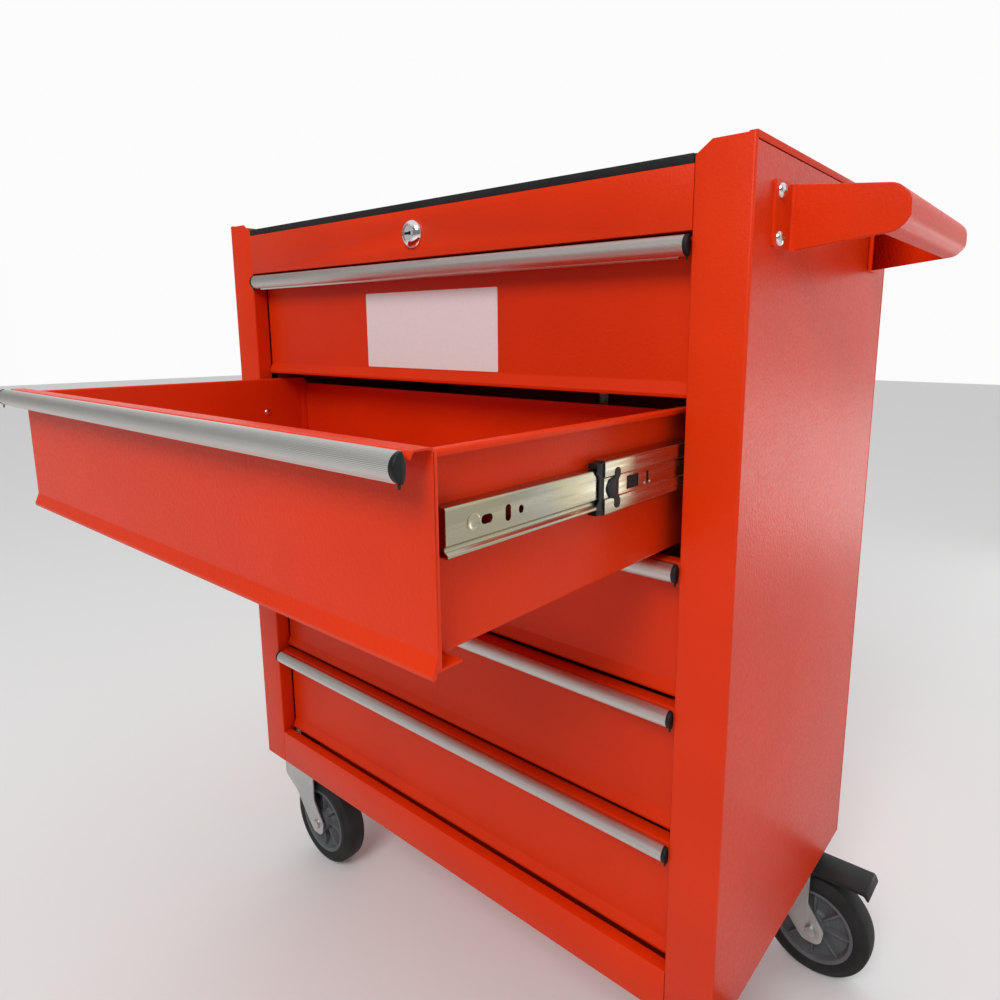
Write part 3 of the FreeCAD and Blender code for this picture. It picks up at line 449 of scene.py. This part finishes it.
FRONT_HALF = 294.0
CLIP_HALF = 288.0
BOX_HALF = 282.0
BOX_FRONT = 24.0
CORNER_FRONT = 316.0
BOX_BACK = 325.0
FLOOR_LOW = -113.4
EDGE_ROUND = 0.25
EDGE_MIDDLE = -7.5
RIB_PITCH = 0.9
RIB_DEPTH = 0.16
HANDLE_END = 290.9
HOOK_END = 284.0
CAP_END = 294.4
SCREW_PLACES = (49.2, 267.5)
SCREW_DROP = 44.0
NEAR = 0.01


def bow(front, start_y, half_tall, steps, ribbed=False):
    """Points of an arc that bulges to the front, from its upper to its lower end."""
    depth = start_y - front
    radius = (half_tall ** 2 + depth ** 2) / (2 * depth)
    centre_y = front + radius
    reach = math.asin(half_tall / radius)
    points = []
    for k in range(steps + 1):
        angle = reach - 2 * reach * k / steps
        along = radius * (reach - angle)
        dip = RIB_DEPTH * (0.5 - 0.5 * math.cos(2 * math.pi * along / RIB_PITCH)) if ribbed else 0
        span = radius - dip
        points.append((centre_y - span * math.cos(angle), EDGE_MIDDLE + span * math.sin(angle)))
    return points


def edge_handle():
    """Bowed and finely ribbed front, and the shorter hook behind the clip flange."""
    face = bow(-5.5, 0.4, 7.5, 138, ribbed=True) + [(2.6, -15), (2.6, 0)]
    hook = [(2.5, -15), (3.4, -16.5), (5, -16.5), (5, -11), (4, -11), (4, -13.5), (2.5, -13.5)]
    return merge(prism(face, "X", -HANDLE_END, HANDLE_END), prism(hook, "X", -HOOK_END, HOOK_END))


def cap_section():
    """An oval, fuller at the front."""
    front = bow(-5.75, 0.5, 7.8, 26)
    back = [(1 - y, z) for y, z in reversed(bow(-1.5, 0.5, 7.8, 18))]
    return front + back[1:-1]


def front_section(full):
    """Side view of a drawer front. At its two ends the clip flange is cut away."""
    clip = [(3.6, -7.1, 0.8), (3.6, -13.2), (2.6, -13.2), (2.6, -6.8, 1.6)] if full else [
        (4.9, -4.6, 0.3), (4.0, -4.3, 0.3)]
    return rounded([
        (35.8, FLOOR_LOW), (35.8, FLOOR_LOW - 1), (18.0, FLOOR_LOW - 1, 0.8), (17.2, -117.2, 0.6),
        (16.2, -118.2, 0.5), (15.1, -117.7, 0.5), (14.6, -115.2, 0.8), (18.5, -105.8, 5),
        (18.5, -1, 1.2), (7.1, -1, 1.0), *clip, (6.5, 0, 2.0), (19.5, 0, 2.1), (19.5, -105.8, 5),
        (16.4, FLOOR_LOW)])


def drawer_front():
    """The pan front, and at each end a softened rim with a flange turned back from it."""
    parts = [prism(front_section(True), "X", -CLIP_HALF, CLIP_HALF)]
    for side in SIDES:
        end = prism(front_section(False), "X", *on_side(side, CLIP_HALF, FRONT_HALF))
        rim = [e for e in end.edges
               if all(abs(v.co.x) > FRONT_HALF - NEAR and v.co.y < 18.6 and v.co.z < -1.5 for v in e.verts)]
        round_edges(end, rim, 0.9, 4)
        turned = [(18.9, -2.2), (21.5, -2.2, 1.2), (21.5, FLOOR_LOW), (16.5, FLOOR_LOW), (19.2, -105.8)]
        flange = prism(rounded(turned), "X", *on_side(side, FRONT_HALF - SHEET, FRONT_HALF))
        parts += [end, soften(flange, EDGE_ROUND)]
    return merge(*parts)


def drawer_box():
    """Floor and sides as one bent sheet with turned-out tops, corner plates, and a low rear."""
    half = [(287.0, -6.5), (287.0, -3.5, 0.8), (BOX_HALF, -3.5, 0.8), (BOX_HALF, FLOOR_LOW, 2.5)]
    path = [(-x, z, *bend) for x, z, *bend in half] + list(reversed(half))
    body = soften(prism(sheet_section(path, SHEET), "Y", BOX_FRONT, CORNER_FRONT), EDGE_ROUND)
    lower = [(-BOX_HALF, -2.9), (-BOX_HALF, FLOOR_LOW, 2.5), (BOX_HALF, FLOOR_LOW, 2.5), (BOX_HALF, -2.9)]
    parts = [body, prism(sheet_section(lower, SHEET), "Y", 19.3, BOX_FRONT)]
    corner = rounded([(CORNER_FRONT, -2.5), (BOX_BACK, -2.5, 8.9), (BOX_BACK, FLOOR_LOW),
                      (CORNER_FRONT, FLOOR_LOW)], 8)
    for side in SIDES:
        plate = prism(corner, "X", *on_side(side, BOX_HALF - SHEET, BOX_HALF))
        parts.append(soften(plate, EDGE_ROUND))
    rear = rounded([(-281.5, FLOOR_LOW), (281.5, FLOOR_LOW), (281.5, -10, 4), (-281.5, -10, 4)], 6)
    parts.append(soften(prism(rear, "Y", BOX_BACK - SHEET, BOX_BACK), EDGE_ROUND))
    floor = [(-281, FLOOR_LOW), (281, FLOOR_LOW), (281, FLOOR_LOW + SHEET), (-281, FLOOR_LOW + SHEET)]
    parts.append(prism(floor, "Y", CORNER_FRONT, BOX_BACK - 0.5))
    return merge(*parts)


def screw_head(radius, height, steps=28):
    """A low dome on the X axis, its seat at 0."""
    outline = [(0, 0), (0, radius)]
    for k in range(1, 7):
        angle = math.pi / 2 * k / 6
        outline.append((height * math.sin(angle), radius * math.cos(angle)))
    return lathe(outline, "X", steps)


def edge_caps():
    """Two oval end caps, each with a small nib under it."""
    parts = []
    for side in SIDES:
        cap = prism(cap_section(), "X", *on_side(side, HANDLE_END, CAP_END))
        rim = [e for e in cap.edges if all(abs(v.co.x) > CAP_END - NEAR for v in e.verts)]
        round_edges(cap, rim, 1.0, 4)
        nib = rounded([(-1.6, -15), (-0.4, -15), (-0.7, -17.6, 0.2), (-1.3, -17.6, 0.2)])
        parts += [cap, prism(nib, "X", *on_side(side, 292, 293.4))]
    return merge(*parts)


def slide_screws():
    """Heads inside the tray of the screws that hold its slide members."""
    heads = []
    for side in SIDES:
        for along in SCREW_PLACES:
            head = screw_head(4.2, 1.8)
            if side > 0:
                mirrored(head)
            heads.append(shift(head, (side * (BOX_HALF - SHEET), along, -SCREW_DROP)))
    return merge(*heads)


def drawer_pieces(number):
    name = f"drawer_{number}"
    place = drawer_place(number)
    tray = to_object(name + "_sheetwork", merge(drawer_front(), drawer_box()), place)
    dress(tray, "red_powder_coat", name, name + "_tray")
    handle = to_object(name + "_edge", edge_handle(), place, 50)
    dress(handle, "satin_aluminium", name, name + "_handle")
    dress(to_object(name + "_caps", edge_caps(), place), "black_plastic", name, name + "_end_caps")
    dress(to_object(name + "_slide_screws", slide_screws(), place), "nickel_fasteners", name)


# --- slides -----------------------------------------------------------------------------------------
# X is from the drawer's middle, Y from the posts' face, Z from the slide's middle line.

SLIDE_DROP = 45.5
MIDDLE_LONG = 295.0


def punch(low_y, high_y, low_z, high_z, radius):
    """A cutter through a slide's web."""
    outline = [(low_y, low_z, radius), (high_y, low_z, radius), (high_y, high_z, radius),
               (low_y, high_z, radius)]
    return prism(rounded(outline, 6), "X", 286, 296)


def drawer_member():
    """Web with a grooved foot and an outward lip, punched near its front, with a round boss."""
    path = [(282.2, -13.2), (291.8, -13.2, 0.9), (291.8, -11.2, 0.7), (289.3, -9.5, 0.7),
            (289.3, -7.9, 0.7), (290.5, -6.4, 0.7), (290.5, 13.2, 1.5), (282.2, 13.2)]
    web = carved(prism(sheet_section(path, SHEET), "Y", 29.2, 329.2),
                 punch(54.8, 63.5, -0.6, 4.5, 2.5), punch(73.8, 78.3, -2.7, 6.7, 2.2),
                 punch(85, 89, -0.4, 4.3, 1.9))
    boss = lathe([(0, 0), (0, 4.9), (0.35, 4.9), (0.55, 4.5), (0.55, 3.9), (0.3, 3.3), (0.15, 2.0),
                  (0.1, 0)], "X", 40)
    return merge(web, shift(boss, (290.4, 49.2, 2)))


def middle_member():
    """Two beads and a sunk web, with a square and a narrow hole behind the latch. Y is from its front end."""
    path = [(284.3, -18.25), (293, -18.25, 1.6), (293, -7.4, 0.4), (292.2, -6.6, 0.4), (292.2, 6.6, 0.4),
            (293, 7.4, 0.4), (293, 18.25, 1.6), (284.3, 18.25)]
    web = carved(prism(sheet_section(path, SHEET), "Y", 0, MIDDLE_LONG),
                 punch(27, 42, -4.8, 4.4, 0.6), punch(52.5, 55.5, -4.1, 4.4, 1.2))
    dots = [shift(screw_head(1.3, 0.8, 16), (292.1, along, -4.2)) for along in (50.5, 57.5)]
    return merge(web, *dots)


def latch():
    """Black release lever let into the middle member, the ball retainers and the strap that joins them at
    its front end, and a thin black sheet behind its two holes that paints the shade seen through them. Y is
    from the member's front end."""
    lever = rounded([
        (11, 12.4, 3), (18, 12.4, 3), (18, 6.6, 2), (15.8, 4, 2), (15.8, -6.4, 2), (18, -9, 2), (18, -15, 3),
        (11, -15, 3), (11, -8.4, 1.5), (6, -7, 3), (2.5, -1, 3), (6, 5, 3), (11, 6.2, 1.5)], 6)
    upper = rounded([(285, 17.0), (285, 13.8), (290.9, 13.8), (290.9, 11.0, 0.5), (291.9, 11.0, 0.5),
                     (291.9, 17.0, 0.8)])
    lower = rounded([(285, -17.0), (285, -13.8), (290.5, -13.8), (291.0, -13.6), (291.9, -13.6, 0.5),
                     (291.9, -17.0, 0.8)])
    strap = rounded([(-8, -16, 1), (-8, -11, 3), (-5, -8, 3), (-5, 8, 3), (-8, 11, 3), (-8, 16, 1),
                     (1, 16, 1), (1, -16, 1)])
    # Thin black sheet behind the punched holes: painted shade standing in for the dark seen through them.
    hole_painted_shade = [(24, -6.5), (59, -6.5), (59, 6.5), (24, 6.5)]
    retainers = [soften(prism(outline, "Y", -8, 6), 0.35) for outline in (upper, lower)]
    return merge(soften(prism(lever, "X", 291.5, 293.3), 0.3), *retainers,
                 prism(strap, "X", 291.0, 291.8), prism(hole_painted_shade, "X", 291.0, 291.15))


def slide_pieces(number, shapes):
    """The moving members of a drawer's two slides."""
    rail, member, lever = shapes
    drawer, rider = f"drawer_{number}", f"intermediate_{number}"
    place = drawer_place(number) - Vector((0, 0, SLIDE_DROP))
    own = middle(drawer + "_intermediate_slides")
    halfway = Vector((own.x, own.y - MIDDLE_LONG / 2, place.z))
    for shape, tag, slot, body, spot, nodes in (
            (rail, "_slide_rails", "zinc_plated_steel", drawer, place, [drawer + "_slide_members"]),
            (member, "_slide_middles", "zinc_plated_steel", rider, halfway,
             [drawer + "_intermediate_slides"]),
            (lever, "_slide_latches", "black_plastic", rider, halfway, [])):
        piece = to_object(drawer + tag, merge(shape.copy(), mirrored(shape.copy())), spot, 35)
        dress(piece, slot, body, *nodes)


# --- lock, label, side handle -----------------------------------------------------------------------

LOCK_DROP = 22.5
BARREL_RADIUS = 9.5
BARREL_BACK = 20.0
BEZEL_RADIUS = 13.5
BEZEL_RISE = 7.0
MOUTH_RADIUS = 8.05
PLUG_RADIUS = 8.0
PLUG_BACK = 22.0
PLUG_RISE = 5.6
LABEL_FACE = 18.34
LABEL_BACK = 18.6


def lock_pieces():
    """A domed bezel round a plug with a keyway, and a black block set deep in the keyway as painted shade."""
    place = cabinet_place() + Vector((0, 0, RAIL_TOP - LOCK_DROP))
    mouth = math.asin(MOUTH_RADIUS / BEZEL_RADIUS)
    rim = []
    for k in range(13):
        angle = mouth + (math.pi / 2 - mouth) * k / 12
        rim.append((-BEZEL_RISE * math.cos(angle), BEZEL_RADIUS * math.sin(angle)))
    dome = lathe([(BARREL_BACK, MOUTH_RADIUS), (1 - BEZEL_RISE, MOUTH_RADIUS), *rim, (0, BARREL_RADIUS),
                  (BARREL_BACK, BARREL_RADIUS), (BARREL_BACK, MOUTH_RADIUS)], "Y", 96)
    dress(to_object("lock_bezel", dome, place, 50), "chrome", "cabinet", "lock_housing")
    crown = []
    for k in range(8, -1, -1):
        angle = math.pi / 2 * k / 8
        crown.append((-PLUG_RISE - 0.6 * math.cos(angle), (PLUG_RADIUS - 0.1) * math.sin(angle)))
    plug = lathe([(PLUG_BACK, 0), (PLUG_BACK, PLUG_RADIUS), *crown], "Y", 72)
    keyway = rounded([(-4.6, -1.2, 0.7), (1.6, -1.2, 0.3), (2.2, -1.8, 0.5), (4.6, -1.8, 0.5),
                      (4.6, 1.8, 0.5), (2.2, 1.8, 0.5), (1.6, 1.2, 0.3), (-4.6, 1.2, 0.7)])
    face = to_object("lock_face", carved(plug, prism(keyway, "Y", -9, 1)), place, 40)
    dress(face, "chrome", "lock", "lock_plug")
    # Black block filling most of the keyway's depth: painted shade for the dark slot.
    dress(to_object("lock_keyway_painted_shade", prism(keyway, "Y", -4.6, 0.9), place), "black_plastic", "lock")


def label_piece():
    """A blank paper label on the first drawer's front."""
    outline = rounded([(-99, -104.7, 1.5), (92.5, -104.7, 1.5), (92.5, -27.5, 1.5), (-99, -27.5, 1.5)])
    label = to_object("drawer_1_label", prism(outline, "Y", LABEL_FACE, LABEL_BACK), drawer_place(1))
    label.data.materials.append(label_paper())
    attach(label, "drawer_1")


# The side handle's X is from the cabinet's middle, Y from the posts' face, Z from the lock rail's top.

BRACKET_SHEET = 2.0
GRIP_SHEET = 1.5
GRIP_FRONT = 65.0
GRIP_BACK = 274.0
ARM_ROOT = 346.0
ARM_TOP = -10.6
ARM_FOOT = -57.0
HEAD_RADIUS = 5.5
ARM_END = [(412.5, -17.3, 14), (421.7, -26, 12), (422, -41, 10), (414, -48.8, 12)]
ARM = [(ARM_ROOT, ARM_TOP), *ARM_END, (ARM_ROOT, ARM_FOOT)]


def bracket(side, plate, foot):
    """A foot along the cabinet and an arm square to it, with a bend between them. The foot's free end is at
    the given Y, on the side -1 (front) or 1 (rear) of the arm."""
    planes = (plate, plate + BRACKET_SHEET)
    face, back = planes if side < 0 else reversed(planes)
    wall = CAB_HALF + BRACKET_SHEET
    bent = rounded([(CAB_HALF, foot), (wall, foot), (wall, face, 2), (ARM_ROOT, face), (ARM_ROOT, back),
                    (CAB_HALF, back, 3.5)], 8)
    heel = prism(bent, "Z", ARM_FOOT, ARM_TOP)
    rim = [e for e in heel.edges if all(abs(v.co.y - foot) < NEAR for v in e.verts)
           and abs(e.verts[0].co.z - e.verts[1].co.z) < NEAR]
    round_edges(heel, rim, 3, 5)
    arm = prism(rounded(ARM, 10), "Y", *planes)
    rim = [e for e in arm.edges if all(abs(v.co.y - face) < NEAR for v in e.verts)
           and max(v.co.x for v in e.verts) > ARM_ROOT + 20]
    round_edges(arm, rim, 1.1, 4)
    made = merge(heel, arm)
    bmesh.ops.remove_doubles(made, verts=made.verts, dist=NEAR)
    return made


def side_handle():
    place = cabinet_place() + Vector((0, 0, RAIL_TOP))
    for name, made in (("front", bracket(-1, GRIP_FRONT - BRACKET_SHEET, 33)),
                       ("rear", bracket(1, GRIP_BACK, 306))):
        piece = to_object(f"side_handle_{name}_arm", made, place)
        dress(piece, "red_powder_coat", "cabinet", f"side_handle_{name}_bracket")
    path = [(406, -49.9), *reversed(ARM_END), (404, -16.45)]
    band = prism(sheet_section(path, GRIP_SHEET, 10), "Y", GRIP_FRONT, GRIP_BACK)
    dress(to_object("side_handle_band", band, place), "red_powder_coat", "cabinet", "side_handle_grip")
    low, high = corners_mm("side_handle_screws")
    heads = []
    for y in (low.y + HEAD_RADIUS, high.y - HEAD_RADIUS):
        for z in (low.z + HEAD_RADIUS, high.z - HEAD_RADIUS):
            shank = lathe([(-11, 0), (-11, 2.5), (0, 2.5), (0, 0)], "X", 24)
            screw = merge(cross_head(), shank)
            heads.append(shift(screw, (CAB_X + CAB_HALF + BRACKET_SHEET, y, z)))
    screws = to_object("side_handle_screw_heads", merge(*heads), smooth_angle=40)
    dress(screws, "nickel_fasteners", "cabinet", "side_handle_screws")


def cross_head():
    """A dome head with a cross cut, turned a little as a screw comes to rest."""
    cuts = []
    for turn_by in (20, 110):
        cut = prism([(-0.6, -3.2), (0.6, -3.2), (0.6, 3.2), (-0.6, 3.2)], "X", 1.6, 6)
        bmesh.ops.rotate(cut, verts=cut.verts, cent=(0, 0, 0),
                         matrix=Matrix.Rotation(math.radians(turn_by), 3, "X"))
        cuts.append(cut)
    return carved(screw_head(HEAD_RADIUS, 3.4, 40), *cuts)


# --- cabinet sides ----------------------------------------------------------------------------------

POST_IN = 295.5
SIDE_DROP = 5.0
PAST = 5.0


def cabinet_side(side):
    """Post, side wall and rear flange as one bent sheet, the post's top corner cut off."""
    name = "side_panel_left" if side < 0 else "side_panel_right"
    top, above = POST_TOP, POST_TOP + PAST
    path = [(POST_IN, 17.5), (POST_IN, 0, 1.3), (CAB_HALF, 0, 2.2), (CAB_HALF, 339, 2), (320, 339)]
    wall = [(300, 2.6), (345, 2.6), (345, 345), (300, 345)]
    reveal = [(290, 1.6), (300, 1.6), (300, 20), (290, 20)]
    corner = [(290, top - 13.2), (308.5, top), (308.5, above), (290, above)]
    made = carved(prism(sheet_section(path, SHEET, 6), "Z", BODY_LOW, top),
                  prism(wall, "Z", top - SIDE_DROP, above),
                  prism(reveal, "Z", RAIL_TOP - SHEET, above),
                  prism(corner, "Y", -2, 6))
    soften(made, 0.2, angle=50)
    if side < 0:
        mirrored(made)
    dress(to_object(name + "_bent", made, cabinet_place()), "red_powder_coat", "cabinet", name)


# --- casters ----------------------------------------------------------------------------------------

WHEEL_RIBS = 8


def wheel_pieces(corner):
    """A rubber tyre with a rounded tread, and a ribbed wheel body."""
    place = middle(f"caster_tyre_{corner}")
    tread = rounded([(-14, 44), (-15, 47, 1), (-15.5, 52, 3), (-12, 61, 5), (0, 62.5, 40), (12, 61, 5),
                     (15.5, 52, 3), (15, 47, 1), (14, 44)], 6)
    tyre = to_object(f"caster_{corner}_tread", lathe([*tread, tread[0]], "Y", 96), place)
    dress(tyre, "tyre", f"wheel_{corner}", f"caster_tyre_{corner}")
    disc = lathe([(-17, 6.1), (-17, 12), (-16.4, 13), (-8, 14), (-5, 17), (-5, 34), (-7, 38), (-13.6, 40),
                  (-14.4, 41), (-14.4, 44.3), (14.4, 44.3), (14.4, 41), (13.6, 40), (7, 38), (5, 34), (5, 17),
                  (8, 14), (16.4, 13), (17, 12), (17, 6.1), (-17, 6.1)], "Y", 72)
    ribs = []
    for k in range(WHEEL_RIBS):
        rib = soften(prism([(12, -1.2), (40, -1.2), (40, 1.2), (12, 1.2)], "Y", -11.5, 11.5), 0.4)
        turned = Matrix.Rotation(2 * math.pi * k / WHEEL_RIBS, 3, "Y")
        bmesh.ops.rotate(rib, verts=rib.verts, cent=(0, 0, 0), matrix=turned)
        ribs.append(rib)
    body = to_object(f"caster_{corner}_wheel_body", merge(disc, *ribs), place)
    dress(body, "wheel_plastic", f"wheel_{corner}", f"caster_hub_{corner}")


# --- the whole cart ---------------------------------------------------------------------------------

FORK_ROUNDING = 0.5
ROUNDING = {
    "back_panel": 0.3, "top_panel": 0.4, "lock_rail": 0.45, "bottom_rail": 0.45, "base_panel": 0.3,
    "top_mat": 0.9, "slide_uprights": 0.3, "outer_slide_members": 0.25, "lock_cam": 0.3, "lock_bar": 0.3,
    "side_handle_nuts": 0.2, "caster_plates": 0.4, "caster_bolts": 0.4, "brake_pedal_front_right": 0.8,
    "brake_pedal_rear_right": 0.8,
}


def cart():
    for node, width in ROUNDING.items():
        refined(node, width)
    for side in SIDES:
        cabinet_side(side)
    shapes = (drawer_member(), middle_member(), latch())
    for number in DRAWERS:
        drawer_pieces(number)
        slide_pieces(number, shapes)
    lock_pieces()
    label_piece()
    side_handle()
    for corner in CORNERS:
        wheel_pieces(corner)
        refined(f"caster_fork_{corner}", FORK_ROUNDING)


cart()


# --- camera, light and floor ------------------------------------------------------------------------

ROOM_LIGHT = 0.2


def studio():
    """A pale floor, a white surround behind the cart, and a darker room with soft lamps before it."""
    floor_mesh = bmesh.new()
    bmesh.ops.create_grid(floor_mesh, x_segments=1, y_segments=1, size=12000)
    floor = to_object("floor", floor_mesh)
    paper = Shader("studio_floor", (0.74, 0.74, 0.74), 0.8)
    grain = paper.noise(40, 3.0)
    paper.feed(Roughness=paper.ramp(grain, 0.74, 0.86, 0.3, 0.7))
    floor.data.materials.append(paper.material)
    surround()
    area_light("key", (0.9, -2.3, 2.7), (0.1, -0.1, 0.5), 1.3, 60)
    area_light("fill", (-2.2, -2.4, 1.3), (0, 0, 0.5), 1.6, 2)
    area_light("side", (1.15, 2.1, 0.0), (0.3, 0.15, 0.4), 1.2, 11)


def surround():
    """World light by direction: white behind the cart and overhead, dim before it."""
    world = bpy.data.worlds.new("studio")
    bpy.context.scene.world = world
    world.use_nodes = True
    nodes, links = world.node_tree.nodes, world.node_tree.links
    direction = nodes.new("ShaderNodeTexCoord")
    split = nodes.new("ShaderNodeSeparateXYZ")
    links.new(direction.outputs["Generated"], split.inputs["Vector"])
    brightest = nodes.new("ShaderNodeMath")
    brightest.operation = "MAXIMUM"
    for socket, (axis, start, end, light) in enumerate((("Y", -0.3, 0.28, 0.97), ("Z", 0.45, 0.7, 0.75))):
        shade = nodes.new("ShaderNodeMapRange")
        shade.interpolation_type = "SMOOTHSTEP"
        shade.inputs["From Min"].default_value = start
        shade.inputs["From Max"].default_value = end
        shade.inputs["To Min"].default_value = ROOM_LIGHT
        shade.inputs["To Max"].default_value = light
        links.new(split.outputs[axis], shade.inputs["Value"])
        links.new(shade.outputs["Result"], brightest.inputs[socket])
    links.new(brightest.outputs["Value"], nodes["Background"].inputs["Strength"])
    nodes["Background"].inputs["Color"].default_value = (1, 1, 1, 1)


def area_light(name, place, target, size, power):
    data = bpy.data.lights.new(name, "AREA")
    data.size = size
    data.energy = power
    light = bpy.data.objects.new(name, data)
    light.location = place
    light.rotation_euler = (Vector(target) - Vector(place)).to_track_quat("-Z", "Y").to_euler()
    bpy.context.scene.collection.objects.link(light)


def camera():
    """Low in front of the right-hand corner, turned to the left and tilted slightly down."""
    data = bpy.data.cameras.new("camera")
    data.lens = 25.565
    data.sensor_width = 36
    data.shift_x = -0.0370
    data.shift_y = -0.0369
    data.clip_start = 0.01
    made = bpy.data.objects.new("camera", data)
    heading, tilt = math.radians(39.249), math.radians(10.283)
    made.location = (0.5002, -0.5070, 0.7379)
    made.rotation_euler = (math.pi / 2 - tilt, 0, heading)
    bpy.context.scene.collection.objects.link(made)
    bpy.context.scene.camera = made


studio()
camera()
bpy.context.scene.view_settings.view_transform = "Standard"
